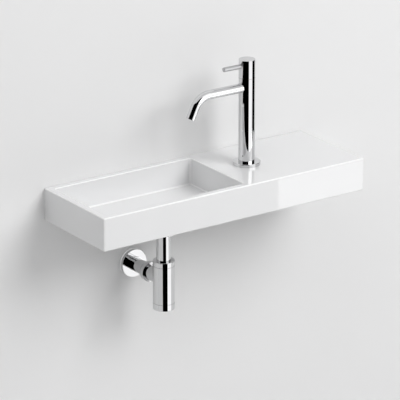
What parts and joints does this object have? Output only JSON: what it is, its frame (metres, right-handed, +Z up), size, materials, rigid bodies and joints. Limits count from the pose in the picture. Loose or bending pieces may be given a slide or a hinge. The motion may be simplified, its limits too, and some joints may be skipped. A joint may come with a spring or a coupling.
{
  "type": "wall-hung hand basin",
  "caption": "Narrow rectangular wall-hung ceramic hand basin with a side tap deck, slim pillar tap with pin lever and fixed spout, grid waste and small bottle trap.",
  "frame": {"origin": "on the wall plane, midway between the two wall studs, at the height of their axes", "axes": "+X to the right along the wall, +Y into the wall, +Z up; the front of the basin faces -Y"},
  "size_m": [0.56, 0.25, 0.432],
  "materials": {
    "glazed_ceramic": "gloss glaze",
    "chrome": "polished chrome plate",
    "brass": "turned",
    "steel": "zinc plated",
    "rubber": "moulded matt",
    "white_plastic": "moulded",
    "disc_ceramic": "lapped"
  },
  "bodies": {
    "fixed": {"basin_body": "glazed_ceramic", "waste_body": "chrome", "waste_strainer": "chrome", "trap_union_nut": "chrome", "trap_downpipe": "chrome", "bottle_top_nut": "chrome", "bottle_body": "chrome", "outlet_nut": "chrome", "outlet_pipe": "chrome", "tap_body": "chrome", "base_flange": "chrome", "spout_tube": "chrome", "valve_body": "brass", "tap_shank": "brass", "deck_nut": "brass", "waste_back_nut": "brass", "wall_studs": "steel", "stud_washers": "steel", "stud_nuts": "steel", "deck_washer": "steel", "strainer_screw": "steel", "waste_top_seal": "rubber", "waste_lower_seal": "rubber", "trap_union_seal": "rubber", "bottle_top_seal": "rubber", "outlet_seal": "rubber", "base_seal": "rubber", "valve_seat_seal": "rubber", "spindle_ring": "rubber", "deck_gasket": "rubber", "stud_sleeves": "white_plastic", "spout_aerator": "white_plastic", "fixed_disc": "disc_ceramic"},
    "handle": {"tap_cap": "chrome", "lever_pin": "chrome", "valve_spindle": "brass", "turning_disc": "disc_ceramic"},
    "cap_travel": {"cap_seal": "rubber"},
    "cleaning_cap": {"bottle_cap": "chrome"},
    "rosette": {"wall_rosette": "chrome", "rosette_ring": "rubber"}
  },
  "joints": [
    {"name": "handle_turn", "type": "hinge", "parent": "fixed", "child": "handle", "pos_m": [-0.063, -0.096, 0.2], "axis": [0, 0, 1], "range_deg": [0, 90]},
    {"name": "cap_drop", "type": "slide", "parent": "fixed", "child": "cap_travel", "axis": [0, 0, -1], "range_m": [0, 0.0081]},
    {"name": "cap_turn", "type": "hinge", "parent": "cap_travel", "child": "cleaning_cap", "pos_m": [-0.247, -0.102, -0.19], "axis": [0, 0, -1], "range_deg": [0, 1440]},
    {"name": "rosette_slide", "type": "slide", "parent": "fixed", "child": "rosette", "axis": [0, -1, 0], "range_m": [0, 0.025]}
  ],
  "couplings": [
    {"joint": "cap_drop", "follows": "cap_turn", "m_per_rad": 0.00031831}
  ]
}
